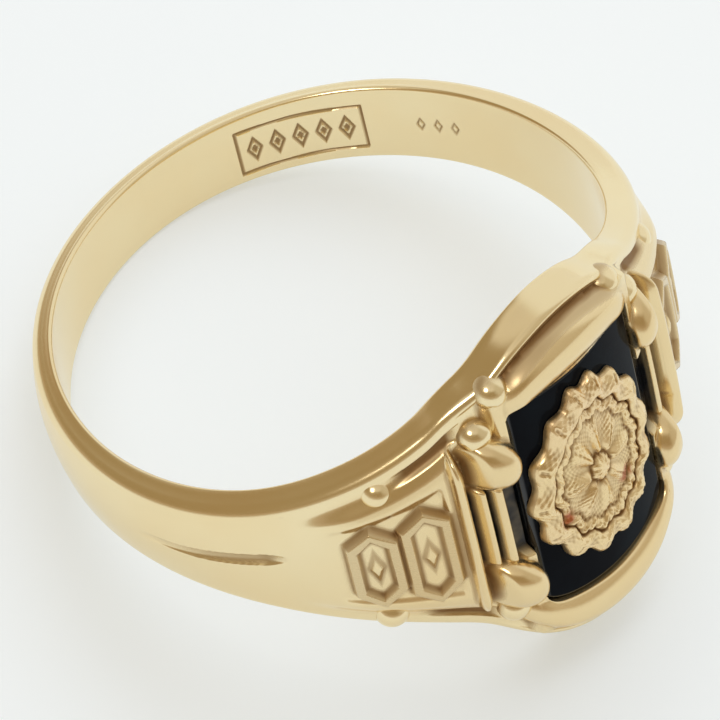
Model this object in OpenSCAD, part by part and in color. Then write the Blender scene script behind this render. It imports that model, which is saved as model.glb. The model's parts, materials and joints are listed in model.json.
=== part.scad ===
// A small cast gold ring with carved shoulders, a black stone and a gold medallion on it.
// It lies on its side as it comes to rest: the head's lower rim and the back of the shank
// touch the table, so the finger hole's axis leans by the angle `tilt`.
//
// The ring is drawn in its own frame and then laid down:
//   X runs from the centre of the finger hole out through the middle of the head,
//   Y runs across the head, along the band,
//   Z is the axis of the finger hole.
// Angles are measured round the finger hole from the middle of the head.

/* [Finger hole] */
// Diameter of the finger hole
bore_d = 15; // [14:0.1:17]

/* [Band] */
// Thickness of the band's middle line at the head and the shoulders
band_t = 0.94; // [0.88:0.02:1]
// Thickness of the band's middle line at the back
back_t = 0.7; // [0.64:0.02:0.8]
// How far the outer face falls away from its middle line to its edges
band_crown = 0.1; // [0:0.02:0.2]
// Rounding of the outer edges at the back of the band
edge_r = 0.32; // [0.24:0.02:0.36]
// Depth of the groove along the middle of the band behind each shoulder
groove_depth = 0.16; // [0.1:0.02:0.22]
// Half the width of that groove
groove_half = 0.2; // [0.14:0.02:0.3]

/* [Shoulders] */
// Angle at which the carved shoulder starts, next to the head
panel_start = 27; // [26:0.5:28]
// Angle at which its sunk field ends, towards the back
panel_end = 50; // [49:0.5:51]
// Height of the shoulder's rails over the band
panel_rise = 0.3; // [0.24:0.02:0.36]
// Height of the field between the rails over the band
field_rise = 0.2; // [0.1:0.02:0.22]
// Height of the six-sided frames over the field
frame_rise = 0.26; // [0.16:0.02:0.34]
// Height of the floor inside each frame over the field
frame_floor = 0.08; // [0.04:0.02:0.14]
// Height of the upright ridge between shoulder and head
ridge_rise = 0.66; // [0.5:0.02:0.8]
// Radius of each small bead at the corners of the shoulders and of the head
bead_r = 0.5; // [0.44:0.02:0.56]
// Height of each six-sided frame on a shoulder, along the finger
frame_l = 3.5; // [3.2:0.1:3.6]
// Width of each six-sided frame, round the band
frame_w = 1.42; // [1.36:0.02:1.46]
// Width of the raised line that a frame is made of
frame_line = 0.36; // [0.3:0.02:0.38]

/* [Head] */
// How far the head's middle is set off the band's mid plane, along the finger
head_drop = 0.3; // [0:0.05:0.4]
// How far the head's middle is set off to one side
head_shift = 0.12; // [0:0.02:0.14]
// Height of the head's face over the finger hole
face_rise = 1.56; // [1.4:0.02:1.7]
// Radius of the low curve of the head's face, across the finger
face_r = 7; // [6.5:0.5:9]
// Height of the roll along the head's rims
rim_roll = 0.13; // [0.04:0.01:0.16]
// Distance from the head's middle to the middle line of each end bar
bar_mid = 4.6; // [4.5:0.05:4.7]
// Half the length of the upper end bar, with its round ends
bar_reach = 2.55; // [2.3:0.05:2.8]
// Half the length of the lower end bar
bar_reach_low = 3.05; // [2.5:0.05:3.2]
// Distance from the head's middle to the middle of a corner lobe, across the head
lobe_y = 3.02; // [2.9:0.02:3.1]
// The same distance along the finger
lobe_z = 2.3; // [2.2:0.05:2.4]
// Half the width of a corner lobe, across the head
lobe_half_y = 0.78; // [0.6:0.02:0.85]
// Half the length of a corner lobe, along the finger
lobe_half_z = 0.95; // [0.85:0.05:1]
// Height of a corner lobe over the band
lobe_rise = 0.95; // [0.7:0.05:1.1]

/* [Stone] */
// Width of the stone's pocket, across the head
pocket_w = 4.75; // [4.65:0.05:4.85]
// Distance from the head's middle to the middle of the pocket's upper end
pocket_top = 3.75; // [3.65:0.05:3.8]
// The same distance to the middle of its lower end
pocket_foot = 3.95; // [3.85:0.05:4]
// How much the pocket's upper end rises towards its corners
top_bow = 0.03; // [0.02:0.01:0.05]
// How much its lower end falls back towards its corners
foot_bow = 0.07; // [0.03:0.01:0.08]
// Rounding of the pocket's corners
pocket_r = 0.35; // [0.2:0.05:0.4]
// Gold left between the pocket's floor and the finger hole
seat_rise = 0.42; // [0.4:0.02:0.5]
// Height of the stone's crown over the finger hole
stone_rise = 1.28; // [1.2:0.02:1.34]
// Clearance round the stone, and under the medallion
clearance = 0.03; // [0.02:0.01:0.06]

/* [Medallion] */
// Width of the medallion, across the head
crest_w = 4.3; // [4:0.05:4.4]
// Distance from the medallion's middle to its upper end, along the finger
crest_up = 3.1; // [2.8:0.05:3.2]
// The same distance to its lower end
crest_down = 2.8; // [2.6:0.05:3]
// How much narrower the medallion is towards its upper end
crest_narrowing = 0.22; // [0:0.02:0.3]
// Thickness of the medallion at its rim
crest_t = 0.34; // [0.25:0.01:0.45]
// Number of scallops round its edge
scallops = 14; // [10:2:18]
// Number of petals of the flower in its middle
petals = 8; // [6:1:10]

/* [Hidden] */

GOLD = [0.86, 0.73, 0.45];
ONYX = [0.05, 0.05, 0.06];
// Fineness of round forms and of the long curves, and lengths that reach through the metal
$fn = 96;
FINE = 180;
THROUGH = 20;
OVER = 2;

bore_r = bore_d / 2;
band_r = bore_r + band_t;
back_r = bore_r + back_t;
face_x = bore_r + face_rise;
seat_x = bore_r + seat_rise;
stone_x = bore_r + stone_rise;

// Half the width of the ring at the finger hole: angle from the head, half width
HALF_WIDTHS = [
    [0, 5.9],
    [10, 5.57],
    [20, 4.66],
    [30, 3.66],
    [45, 2.73],
    [65, 1.91],
    [90, 1.48],
    [130, 1.29],
    [180, 1.14],
];

// Places across the outer face where a section has a point, from its middle to its edge
STATIONS = [0, 0.05, 0.1, 0.16, 0.22, 0.27, 0.33, 0.39, 0.46, 0.53, 0.59, 0.65, 0.71, 0.77,
    0.83, 0.88, 0.92, 0.958, 0.98, 1];
ACROSS = [for (i = [len(STATIONS) - 1:-1:1]) -STATIONS[i], each STATIONS];
EDGE_STEPS = [25, 55, 90];

// Where the band has its sections, closest where it is carved: angle, how many lead up to it
ANGLE_STOPS = [[0, 0], [14, 7], [30, 16], [50, 12], [60, 5], [90, 10], [180, 10]];
HALF_TURN = [
    for (i = [1:len(ANGLE_STOPS) - 1])
        let (from = ANGLE_STOPS[i - 1][0], to = ANGLE_STOPS[i][0], count = ANGLE_STOPS[i][1])
            for (k = [1:count]) from + (to - from) * k / count
];
ANGLES = [
    for (i = [len(HALF_TURN) - 1:-1:0]) -HALF_TURN[i],
    0,
    for (i = [0:len(HALF_TURN) - 2]) HALF_TURN[i]
];

// Goes smoothly from 0 at a to 1 at b
function ease(a, b, t) =
    let (k = max(0, min(1, (t - a) / (b - a))))
    k * k * (3 - 2 * k);

// 1 where d is within half of 0, and 0 outside, with a soft edge
function within(d, half, edge) = 1 - ease(half - edge / 2, half + edge / 2, abs(d));

// A rounded hump: 1 in the middle, 0 where d reaches 1
function dome(d) = sqrt(max(0, 1 - pow(min(abs(d), 1), 2.4)));

// Angle from the middle of the head, 0 to 180, on either side
function turn(a) = abs(a);

// A smooth curve through the rows of a two-column table, level at both ends
function table_slope(t, i) =
    i == 0 || i == len(t) - 1 ? 0 : (t[i + 1][1] - t[i - 1][1]) / (t[i + 1][0] - t[i - 1][0]);
function table_row(t, a, i = 0) = i == len(t) - 2 || a < t[i + 1][0] ? i : table_row(t, a, i + 1);
function table_curve(t, a) =
    let (
        i = table_row(t, a),
        step = t[i + 1][0] - t[i][0],
        k = (a - t[i][0]) / step,
        k2 = k * k,
        k3 = k2 * k
    )
    t[i][1] * (2 * k3 - 3 * k2 + 1)
    + t[i + 1][1] * (3 * k2 - 2 * k3)
    + step * table_slope(t, i) * (k3 - 2 * k2 + k)
    + step * table_slope(t, i + 1) * (k3 - k2);

// The band's section: its side leans inwards on the head and is upright round the back
shank_lean = 0.06;
head_lean = 0.12;
head_edge_r = 0.2;
function half_width(a) = table_curve(HALF_WIDTHS, turn(a));
function on_head(a) = 1 - ease(12, 34, turn(a));
function outer_half(a) = half_width(a) - shank_lean - head_lean * on_head(a);
function section_edge_r(a) = edge_r + (head_edge_r - edge_r) * on_head(a);
function flat_half(a) = outer_half(a) - section_edge_r(a);
function mid_z(a) = -head_drop * (1 - ease(15, 27, turn(a)));
function band_radius(a) = band_r + (back_r - band_r) * ease(50, 140, turn(a));
// The outer face falls away to its edges, but rolls up again along the head's rims
roll_power = 30;
function roll_rise(u) = rim_roll * pow(abs(u), roll_power);
function face_radius(a, u) = band_radius(a) - band_crown * u * u + roll_rise(u) * (1 - ease(14, 26, turn(a)));

// Head: everything that stands over the band there, as heights along X
bar_outer_slope = 0.7;
bar_inner_slope = 0.95;
bar_end = 0.8;
bar_share = 0.87;
bar_foot_share = 0.958;
function face_height(y) = face_x - y * y / (2 * face_r);
function bar_height(y, z, base, flat) =
    let (
        mid = min(bar_mid, bar_share * flat),
        slope = min(bar_outer_slope, bar_foot_share * flat - mid),
        reach = z > 0 ? bar_reach : bar_reach_low,
        past = max(0, (abs(y) - reach + bar_end) / bar_end),
        across = abs(z) > mid ? (abs(z) - mid) / slope : (mid - abs(z)) / bar_inner_slope
    )
    base + (face_height(y) - base) * dome(norm([past, across]));
function lobe_height(y, z, base) =
    let (d = norm([(abs(y) - lobe_y) / lobe_half_y, (abs(z) - lobe_z) / lobe_half_z]))
    base + lobe_rise * dome(d);
wall_t = 0.35;
wall_reach = pocket_w / 2 + wall_t;
wall_below_face = 0.2;
window_half = 1.35;
soft = 0.3;
function wall_height(y, z, base) =
    base + (face_height(y) - wall_below_face - base)
    * within(y, wall_reach, soft) * within(z, bar_mid, soft) * (1 - within(z, window_half, soft));
// Each window between two lobes has upright bars that step down outwards: place, height
WINDOW_BARS = [[3.02, 0.45], [3.42, 0.38]];
window_bar_half = 0.17;
function window_height(y, z, base) =
    base + within(z, window_half + soft / 3, soft)
    * max([for (b = WINDOW_BARS) b[1] * dome((abs(y) - b[0]) / window_bar_half)]);
function head_height(y, z, base, flat) =
    max(bar_height(y, z, base, flat), lobe_height(y, z, base), wall_height(y, z, base), window_height(y, z, base));

// Heights that keep to a share u of the section's half width, as heights along the radius:
// the line inside the rim between the beads, the shoulders, and the ridges
rim_line_depth = 0.13;
rim_line_at = 0.885;
rim_line_half = 0.06;
function rim_line(a, u) =
    let (t = turn(a))
    rim_line_depth * dome((abs(u) - rim_line_at) / rim_line_half) * ease(22, 26, t) * (1 - ease(31, 38, t));
rail_outer = 0.82;
rail_inner = 0.6;
rail_soft = 0.2;
rail_fall = 0.3;
field_soft = 0.12;
function shoulder_rise(a, u) =
    let (
        t = turn(a),
        length_mask = ease(panel_start - 2, panel_start, t) * (1 - ease(panel_end - 7, panel_end + 10, t)),
        rail = panel_rise * within(u, rail_outer, rail_soft) * (1 - rail_fall * ease(rail_inner, rail_outer, abs(u))),
        field = within(u, rail_inner, field_soft)
            * ease(panel_start + 1, panel_start + 2.2, t) * (1 - ease(panel_end - 1.5, panel_end, t))
    )
    length_mask * (rail - (panel_rise - field_rise) * field);
ridge_half_angle = 1.3;
ridge_at = 26;
ridge_half_l = 3;
ridge_end = 0.8;
function ridge_height(a, z) =
    let (past = max(0, abs(z) - ridge_half_l + ridge_end) / ridge_end)
    ridge_rise * dome(norm([(turn(a) - ridge_at) / ridge_half_angle, past]));

// The groove behind each shoulder: round at its front end, where it is set up along the
// finger, and running out to the back
groove_start = 58;
groove_end = 90;
groove_up = 0.28;
function groove_cut(a, z) =
    let (
        t = turn(a),
        open = ease(groove_start - 1, groove_start + 4, t) * (1 - ease(groove_start + 8, groove_end, t)),
        middle = groove_up * (1 - ease(groove_start - 5, groove_end - 8, t)),
        half = groove_half * (1 + open) / 2
    )
    groove_depth * open * dome((z - middle) / half);

// One point of the outer face: out along X on the head, out along the radius elsewhere
function outer_point(a, u) =
    let (
        z = u * flat_half(a),
        r = face_radius(a, u),
        head_share = 1 - ease(22.5, 25.5, turn(a)),
        base = r * cos(a),
        plain = base - roll_rise(u) * head_share,
        head = max(base, head_height(r * sin(a) - head_shift, z, plain, flat_half(a))),
        head_rise = (head - base) * head_share,
        rise = max(shoulder_rise(a, u), ridge_height(a, z)) - groove_cut(a, z) - rim_line(a, u)
    )
    [base + head_rise + rise * cos(a), (r + rise) * sin(a), z + mid_z(a)];

// One point of the rounded edge, side = -1 or 1, from the outer face (0) to the side (90)
function edge_point(a, side, t) =
    let (
        e = section_edge_r(a),
        r = face_radius(a, 1) - e + e * cos(t),
        z = side * (flat_half(a) + e * sin(t)) + mid_z(a)
    )
    [r * cos(a), r * sin(a), z];

// The side comes in straight to just inside the finger hole's wall, and runs on level from
// there, so that the bore cuts it off cleanly. Its points: radius, share of the way in
inner_r = bore_r - 0.6;
SIDE_STEPS = [0.5, 1.04];
PAST_SIDE = 2;
function side_point(a, side, k) =
    let (
        r_edge = face_radius(a, 1) - section_edge_r(a),
        z = outer_half(a) + (half_width(a) - outer_half(a)) * min(k, SIDE_STEPS[1]),
        r = k > SIDE_STEPS[1] ? inner_r : r_edge + (bore_r - r_edge) * k
    )
    [r * cos(a), r * sin(a), side * z + mid_z(a)];

function section(a) = [
    side_point(a, -1, PAST_SIDE),
    side_point(a, -1, SIDE_STEPS[1]),
    side_point(a, -1, SIDE_STEPS[0]),
    for (i = [len(EDGE_STEPS) - 1:-1:0]) edge_point(a, -1, EDGE_STEPS[i]),
    for (u = ACROSS) outer_point(a, u),
    for (t = EDGE_STEPS) edge_point(a, 1, t),
    side_point(a, 1, SIDE_STEPS[0]),
    side_point(a, 1, SIDE_STEPS[1]),
    side_point(a, 1, PAST_SIDE)
];

module cast_band() {
    rings = [for (a = ANGLES) section(a)];
    n = len(rings);
    m = len(rings[0]);
    polyhedron(
        points = [for (ring = rings) each ring],
        faces = [
            for (i = [0:n - 1])
                let (next = (i + 1) % n)
                for (j = [0:m - 1])
                    let (up = (j + 1) % m)
                    each [
                        [i * m + j, i * m + up, next * m + up],
                        [i * m + j, next * m + up, next * m + j]
                    ]
        ],
        convexity = 10
    );
}

// Lays its children on the shoulder at angle a and distance z, facing out along the radius
module on_shoulder(a, z, r) {
    rotate([0, 0, a]) translate([r, 0, z]) rotate([0, 90, 0]) children();
}

// Six-sided frames, long along the finger, with a raised lozenge in the middle of each.
// Angle, how much shorter than the first, place along the finger
FRAMES = [[33, 0, -0.15], [42.4, 0.55, -0.08]];
frame_tip = 0.55;
lozenge_l = 1.1;
lozenge_w = 0.4;
lozenge_rise = 0.12;
module six_sided(l, w, tip) {
    polygon([
        [-l / 2, 0], [-l / 2 + tip, -w / 2], [l / 2 - tip, -w / 2],
        [l / 2, 0], [l / 2 - tip, w / 2], [-l / 2 + tip, w / 2]
    ]);
}

// The frames' feet are sunk below the field
field_r = band_r + field_rise;
frame_foot = 0.25;
module shoulder_frame(l) {
    linear_extrude(frame_foot + frame_floor) six_sided(l, frame_w, frame_tip);
    linear_extrude(frame_foot + frame_rise) difference() {
        six_sided(l, frame_w, frame_tip);
        six_sided(l - 2.4 * frame_line, frame_w - 2 * frame_line, frame_tip - 0.6 * frame_line);
    }
    linear_extrude(frame_foot + frame_floor + lozenge_rise)
        six_sided(lozenge_l, lozenge_w, lozenge_l / 2 - 0.01);
}
module shoulder_frames(side) {
    for (f = FRAMES)
        on_shoulder(side * f[0], f[2], field_r - frame_foot) shoulder_frame(frame_l - f[1]);
}

// Small beads: at the back ends of each shoulder's rails, between the lobes and the ridges,
// and at the upper end bar. Angle, place along the finger, middle's distance from the axis
BEADS = [[39.4, 2.12, 8.1], [42, -2.35, 8.1], [20.3, 3.09, 8.35], [20.3, -3.43, 8.35], [15.3, 4.15, 8.3]];
module beads(side) {
    for (b = BEADS)
        rotate([0, 0, side * b[0]]) translate([b[2], 0, b[1]]) sphere(bead_r, $fn = 32);
}

// The stone's outline, smaller all round by c: its ends are low arcs with rounded corners.
// share runs across it from -1 to 1
OUTLINE_STEPS = 6;
OUTLINE_SHARES = [for (i = [-OUTLINE_STEPS:OUTLINE_STEPS]) sin(90 * i / OUTLINE_STEPS)];
function corner_cut(share) = pocket_r * (1 - sqrt(1 - min(1, pow(abs(share), 8))));
function outline(c) =
    let (half = pocket_w / 2 - c)
    [
        for (share = OUTLINE_SHARES)
            let (y = half * share) [c + corner_cut(share) - pocket_top - top_bow * y * y, y],
        for (i = [2 * OUTLINE_STEPS:-1:0])
            let (share = OUTLINE_SHARES[i], y = half * share)
            [pocket_foot - c - corner_cut(share) - foot_bow * y * y, y]
    ];

// Stands an outline up on the plane x = from, reaching out to the plane x = to
module head_extrude(from, to) {
    translate([from, head_shift, -head_drop]) rotate([0, 90, 0]) linear_extrude(to - from) children();
}

// Everything inside the low curve of a face whose middle is at height x
module under_face(x) {
    translate([x - face_r, head_shift, 0]) cylinder(h = THROUGH, r = face_r, center = true, $fn = FINE);
}

module ring_body() {
    color(GOLD) lay_down() difference() {
        union() {
            cast_band();
            for (side = [-1, 1]) {
                shoulder_frames(side);
                beads(side);
            }
        }
        cylinder(h = THROUGH, r = bore_r, center = true, $fn = FINE);
        head_extrude(seat_x, face_x + OVER) polygon(outline(0));
    }
}

module stone() {
    color(ONYX) lay_down() intersection() {
        head_extrude(seat_x + clearance, face_x) polygon(outline(clearance));
        under_face(stone_x);
    }
}

// Medallion: a polar grid of heights over the stone, with a scalloped edge, a raised rim,
// a ring of beads, and a flower on a sunk oval field
crest_turns = 6 * scallops;
crest_low = 0.2;
scallop_depth = 0.045;
scallop_swell = 0.18;
// Where each form lies between the medallion's middle (0) and its edge (1), and its height
RINGS = [0.12, 0.24, 0.34, 0.44, 0.54, 0.62, 0.68, 0.75, 0.84, 0.92, 1];
rim_at = 0.85;
rim_inner_half = 0.1;
rim_outer_half = 0.18;
rim_height = 0.75 * crest_t;
ring_at = 0.68;
ring_half = 0.08;
ring_height = 0.12;
petal_start = 0.1;
petal_end = 0.56;
petal_waist = 0.45;
eye_half = 0.16;
flower_height = 0.2;
plate_height = 0.45 * crest_t;
function crest_edge(t) = 1 + scallop_depth * cos(scallops * t);
function crest_rim(q) =
    q < rim_at ? dome((q - rim_at) / rim_inner_half) : 1 - pow((q - rim_at) / rim_outer_half, 1.5);
function crest_rise(q, t) =
    let (
        rim = rim_height * crest_rim(q) * (1 - scallop_swell * (1 - cos(scallops * t))),
        inner_ring = ring_height * dome((q - ring_at) / ring_half),
        leaf = 1 - petal_waist * (1 - cos(petals * t)),
        petal = flower_height * dome(q / petal_end) * leaf * ease(petal_start, RINGS[1], q),
        eye = flower_height * dome(q / eye_half)
    )
    plate_height + max(rim, inner_ring, petal, eye);
function crest_point(q, t, rise) =
    let (
        up = max(0, sin(t)),
        y = q * crest_edge(t) * crest_w / 2 * cos(t) * (1 - crest_narrowing * up * up),
        z = q * crest_edge(t) * (sin(t) > 0 ? crest_up : crest_down) * sin(t)
    )
    [stone_x - y * y / (2 * face_r) + clearance + rise, y, z - crest_low];
crest_foot = 0.5;
module crest_relief() {
    n = crest_turns;
    m = len(RINGS);
    top = [for (q = RINGS) for (i = [0:n - 1]) crest_point(q, 360 * i / n, crest_rise(q, 360 * i / n))];
    foot = [for (i = [0:n - 1]) crest_point(1, 360 * i / n, -crest_foot)];
    eye = crest_point(0, 0, crest_rise(0, 0));
    base = [stone_x - crest_foot, 0, -crest_low];
    polyhedron(
        points = [each top, each foot, eye, base],
        faces = [
            for (j = [0:m - 1]) for (i = [0:n - 1])
                let (k = (i + 1) % n)
                each [
                    [j * n + i, (j + 1) * n + k, (j + 1) * n + i],
                    [j * n + i, j * n + k, (j + 1) * n + k]
                ],
            for (i = [0:n - 1])
                let (k = (i + 1) % n)
                each [
                    [(m + 1) * n, k, i],
                    [(m + 1) * n + 1, m * n + i, m * n + k]
                ]
        ],
        convexity = 6
    );
}

module crest() {
    color(GOLD) lay_down() difference() {
        crest_relief();
        under_face(stone_x + clearance);
    }
}

// How the ring rests: on the finger hole's lower rim under the head, and on the rounded
// lower edge of the back of the band
back_x = face_radius(180, 1) - section_edge_r(180);
back_z = flat_half(180);
foot_x = bore_r + back_x;
rim_z = half_width(0) + head_drop;
foot_z = rim_z - back_z;
tilt = atan2(foot_z, foot_x) - asin(section_edge_r(180) / norm([foot_x, foot_z]));
rest_height = rim_z * cos(tilt) - bore_r * sin(tilt);
head_reach = face_x * cos(tilt) + (bar_mid + head_drop) * sin(tilt);
back_reach = back_r * cos(tilt) + back_z * sin(tilt);
module lay_down() {
    translate([(back_reach - head_reach) / 2, 0, rest_height]) rotate([0, -tilt, 0]) children();
}

ring_body();
stone();
crest();
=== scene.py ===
"""Dresses the small gold ring: fine cast surfaces, black stone, medallion, and a pale studio.

The shapes are worked out in the ring's own frame, in millimetres and degrees. X runs from the
centre of the finger hole out through the middle of the head, Y across the head, and Z is the
axis of the hole. Angles are measured round the hole from the middle of the head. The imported
record says where the hole is and how it leans, and each finished surface is laid down there.
"""

import json
import math

import bpy
import numpy as np
from bpy.props import FloatProperty, FloatVectorProperty, IntProperty, PointerProperty
from mathutils import Matrix, Vector


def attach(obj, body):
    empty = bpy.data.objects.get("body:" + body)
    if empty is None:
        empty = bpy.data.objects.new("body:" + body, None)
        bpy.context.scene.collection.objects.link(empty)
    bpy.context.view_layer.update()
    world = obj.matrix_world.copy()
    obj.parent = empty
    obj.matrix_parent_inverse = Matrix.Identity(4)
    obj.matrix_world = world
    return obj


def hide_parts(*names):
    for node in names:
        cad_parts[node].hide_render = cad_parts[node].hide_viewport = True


bl_info = {
    "name": "Gold Ring Dresser",
    "version": (1, 0, 0),
    "blender": (4, 5, 0),
    "location": "View3D > Sidebar > Ring",
    "description": "Builds the fine surfaces and finishes of a small gold ring round its solids",
    "category": "Object",
}

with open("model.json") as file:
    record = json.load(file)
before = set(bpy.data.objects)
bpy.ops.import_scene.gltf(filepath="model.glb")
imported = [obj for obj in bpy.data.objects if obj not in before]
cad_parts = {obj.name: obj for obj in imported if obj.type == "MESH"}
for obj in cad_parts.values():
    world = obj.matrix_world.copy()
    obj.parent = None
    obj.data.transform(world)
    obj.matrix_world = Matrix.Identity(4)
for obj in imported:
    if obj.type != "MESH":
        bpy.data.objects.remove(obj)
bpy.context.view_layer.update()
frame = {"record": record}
BORE = frame["record"]["mounts"][0]
HOLE_R = BORE["dims"]["r_mm"]
MM = 0.001


# The ring's own frame laid down on the table

HOLE_CENTRE = np.array(BORE["pos_m"])
HOLE_AXIS = np.array(BORE["axis"])
ACROSS = np.array([0.0, 1.0, 0.0])
OUTWARD = np.cross(ACROSS, HOLE_AXIS)
RING_AXES = np.stack([OUTWARD, ACROSS, HOLE_AXIS])


def lay_down(points):
    """Ring frame in millimetres to the row frame in metres: a turn and a shift."""
    return HOLE_CENTRE + (points * MM) @ RING_AXES


# Sizes and colours that a user would change


def length(name, text, millimetres):
    return FloatProperty(
        name=name, description=text, default=millimetres * MM, unit="LENGTH", precision=5
    )


def share(name, text, value):
    return FloatProperty(name=name, description=text, default=value, min=0, max=1, subtype="FACTOR")


def colour(name, text, value):
    return FloatVectorProperty(
        name=name, description=text, default=value, min=0, max=1, size=3, subtype="COLOR"
    )


class BandSettings(bpy.types.PropertyGroup):
    """Sizes of the band and its shoulders."""

    bore_r: length("Hole radius", "Radius of the finger hole", HOLE_R)
    band_t: length("Front thickness", "Thickness at the head and shoulders", 0.94)
    back_t: length("Back thickness", "Thickness at the back", 0.7)
    crown: length("Crown", "Fall of the outer face from its middle to its edges", 0.1)
    edge_r: length("Edge rounding", "Rounding of the outer edges at the back", 0.32)
    rim_r: length("Rim rounding", "Rounding of the finger hole's rims", 0.1)
    groove_depth: length("Groove depth", "Depth of the groove behind each shoulder", 0.16)
    groove_half: length("Groove half width", "Half the width of that groove", 0.2)
    panel_rise: length("Rail height", "Height of the shoulder's rails over the band", 0.3)
    field_rise: length("Field height", "Height of the sunk field over the band", 0.2)
    frame_rise: length("Frame height", "Height of the six-sided frames over the field", 0.26)
    frame_floor: length("Frame floor", "Height of the floor inside a frame over the field", 0.08)
    frame_l: length("Frame length", "Length of a frame along the finger", 3.5)
    frame_w: length("Frame width", "Width of a frame round the band", 1.42)
    frame_line: length("Frame line", "Width of the raised line of a frame", 0.36)
    ridge_rise: length("Ridge height", "Height of the ridge between shoulder and head", 0.66)
    bead_r: length("Bead radius", "Radius of each corner bead", 0.5)
    engraving: length("Engraving depth", "Depth of the engraved frame in the hole", 0.05)


class HeadSettings(bpy.types.PropertyGroup):
    """Sizes of the head."""

    drop: length("Head drop", "How far the head is set off the mid plane", 0.3)
    shift: length("Head shift", "How far the head is set off to one side", 0.12)
    face_rise: length("Face height", "Height of the face over the hole", 1.56)
    face_r: length("Face curve", "Radius of the face's low curve", 7)
    rim_roll: length("Rim roll", "Height of the roll along the head's rims", 0.13)
    bar_mid: length("Bar place", "Distance from the middle to an end bar's middle line", 4.6)
    bar_round: length("Bar rounding", "Width of an end bar's outer slope", 0.7)
    bar_reach: length("Upper bar reach", "Half the length of the upper end bar", 2.55)
    bar_reach_low: length("Lower bar reach", "Half the length of the lower end bar", 3.05)
    lobe_y: length("Lobe place across", "Distance to the middle of a corner lobe", 3.02)
    lobe_z: length("Lobe place along", "Distance to the middle of a corner lobe", 2.3)
    lobe_half_y: length("Lobe half width", "Half the width of a corner lobe", 0.78)
    lobe_half_z: length("Lobe half length", "Half the length of a corner lobe", 0.95)
    lobe_rise: length("Lobe height", "Height of a corner lobe over the band", 0.95)
    wall_drop: length("Wall drop", "How far the pocket's walls are under the face", 0.2)
    lip: length("Pocket lip", "Rounding of the stone pocket's edge", 0.06)


class StoneSettings(bpy.types.PropertyGroup):
    """Sizes of the stone and its pocket."""

    pocket_w: length("Pocket width", "Width of the pocket across the head", 4.75)
    pocket_top: length("Pocket top", "Distance to the pocket's upper end", 3.75)
    pocket_foot: length("Pocket foot", "Distance to the pocket's lower end", 3.95)
    pocket_r: length("Corner rounding", "Rounding of the pocket's corners", 0.35)
    top_bow: FloatProperty(name="Top bow", description="Bow of the upper end, per mm", default=0.03)
    foot_bow: FloatProperty(name="Foot bow", description="Bow of the lower end, per mm", default=0.07)
    seat_rise: length("Seat height", "Gold left under the stone", 0.42)
    stone_rise: length("Stone height", "Height of the stone's crown over the hole", 1.28)
    clearance: length("Clearance", "Clearance round the stone", 0.03)
    bevel: length("Stone bevel", "Width of the stone's polished edge", 0.14)


class MedallionSettings(bpy.types.PropertyGroup):
    """Sizes of the medallion."""

    width: length("Width", "Width across the head", 4.3)
    top: length("Upper reach", "Distance from its middle to its upper end", 3.1)
    foot: length("Lower reach", "Distance from its middle to its lower end", 2.8)
    side: length("Set aside", "How far its middle is off the ring's middle plane", 0.0)
    low: length("Set down", "How far its middle is below the ring's middle plane", 0.2)
    rim: length("Rim thickness", "Thickness at the rim", 0.34)
    scallops: IntProperty(name="Scallops", description="Scallops round the edge", default=14)
    petals: IntProperty(name="Petals", description="Petals of the flower", default=8)


class FinishSettings(bpy.types.PropertyGroup):
    """Colours of the metal, the stone and the studio."""

    gold: colour("Gold", "Colour of the polished gold", (0.91, 0.77, 0.48))
    warm_gold: colour("Warm gold", "Colour of the gold where it is worn warm", (0.88, 0.69, 0.38))
    patina: colour("Patina", "Colour of the recesses", (0.30, 0.17, 0.065))
    tarnish: colour("Tarnish", "Colour of the reddish spots", (0.40, 0.085, 0.02))
    # Painted shade: a near-black colour laid in the depths of the head's windows
    soot: colour("Painted window shade", "Colour of the head's windows", (0.012, 0.013, 0.016))
    onyx: colour("Onyx", "Colour of the stone", (0.004, 0.005, 0.008))
    onyx_sheen: colour("Onyx sheen", "Colour of the stone's faint clouds", (0.008, 0.014, 0.02))
    floor: colour("Floor", "Colour of the table", (0.62, 0.66, 0.69))
    glow: colour("Floor glow", "Light that comes through the table", (0.34, 0.355, 0.36))
    worn: colour("Worn gold", "Colour of the medallion's gold", (0.88, 0.68, 0.40))
    polish: share("Polish", "Roughness of the polished gold", 0.16)


# Curves and humps that the shapes are made of


def ease(low, high, t):
    """Goes smoothly from 0 at low to 1 at high: three squares less two cubes."""
    k = np.clip((t - low) / (high - low), 0, 1)
    return k * k * (3 - 2 * k)


def within(d, half, edge):
    """1 where d is within half of 0, and 0 outside, with a soft edge."""
    return 1 - ease(half - edge / 2, half + edge / 2, np.abs(d))


def hump(d):
    """A rounded hump: 1 in the middle, 0 where d reaches 1, and below 0 outside.
    The root of 1 - |d|^2.4, softened at its foot."""
    k = 1 - np.minimum(np.abs(d), 3) ** 2.4
    return k / np.sqrt(np.abs(k) + 0.06) * math.sqrt(1.06)


def dome(d):
    """A hump that stays at 0 outside."""
    return np.maximum(hump(d), 0)


def join(a, b, soft):
    """The higher of two heights, with a fillet of width soft where they meet."""
    k = np.clip(1 - np.abs(a - b) / soft, 0, 1)
    return np.maximum(a, b) + soft * k * k / 4


def smooth(field, turns):
    """A grid of heights blurred by repeated averaging of neighbours, along both directions."""
    for _ in range(turns):
        field = np.pad(field, 1, mode="edge")
        field = (field[:-2] + 2 * field[1:-1] + field[2:]) / 4
        field = (field[:, :-2] + 2 * field[:, 1:-1] + field[:, 2:]) / 4
    return field


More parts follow.
